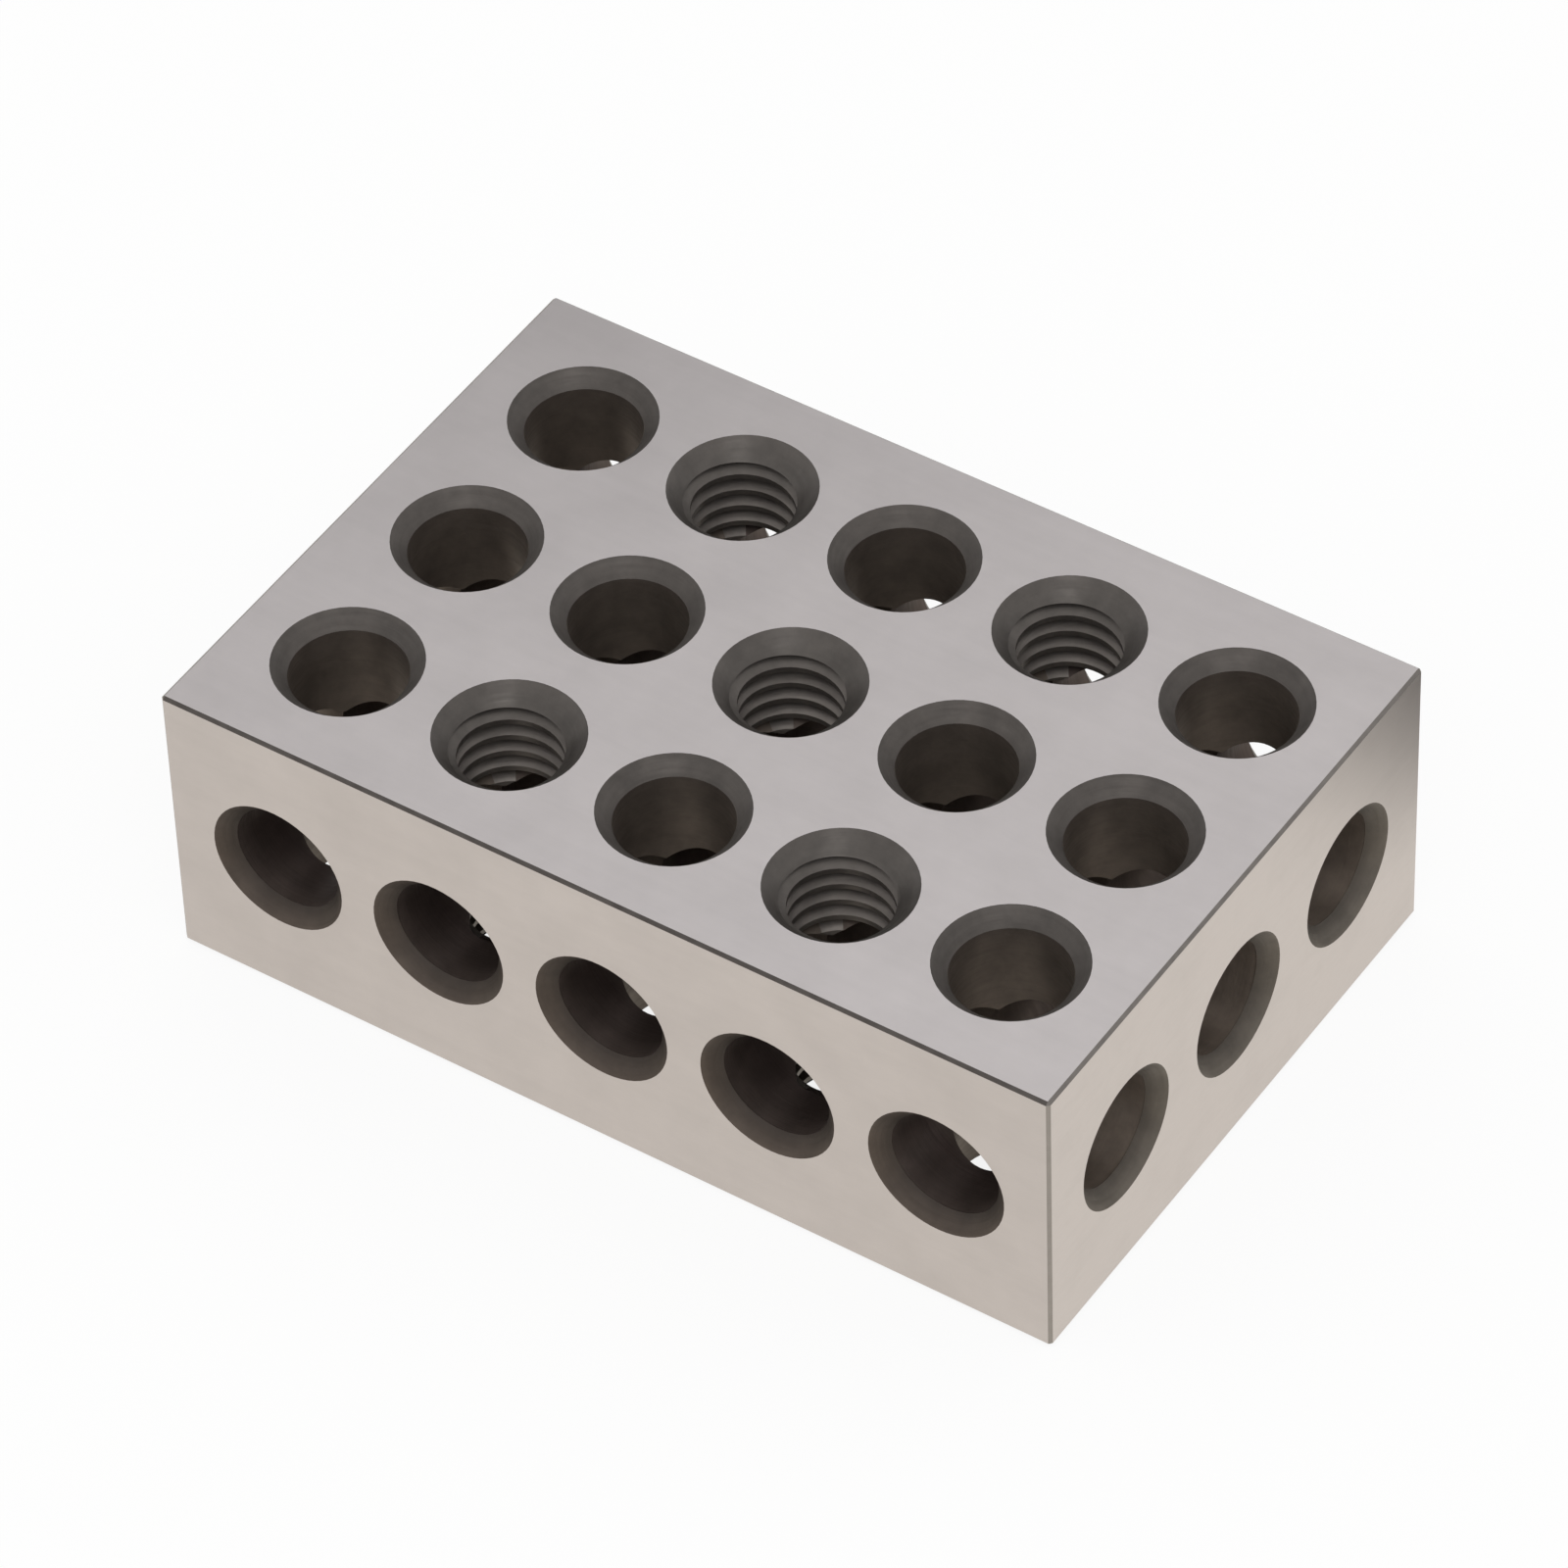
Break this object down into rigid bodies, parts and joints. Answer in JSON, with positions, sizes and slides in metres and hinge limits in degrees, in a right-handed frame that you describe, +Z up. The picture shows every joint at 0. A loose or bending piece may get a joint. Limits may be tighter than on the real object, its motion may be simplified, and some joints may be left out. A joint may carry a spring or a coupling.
{
  "type": "machinist setup block",
  "caption": "Ground rectangular steel setup block in 1-2-3 proportions, with countersunk plain and tapped through holes crossing in three directions.",
  "frame": {"origin": "middle of the bottom face", "axes": "+X along the 3 inch length, +Y along the 2 inch width towards the back, +Z up through the 1 inch thickness"},
  "size_m": [0.0762, 0.0508, 0.0254],
  "materials": {
    "ground_steel": "satin, surface ground, with darker unground hole walls"
  },
  "bodies": {
    "root": {"setup_block": "ground_steel"}
  },
  "joints": []
}
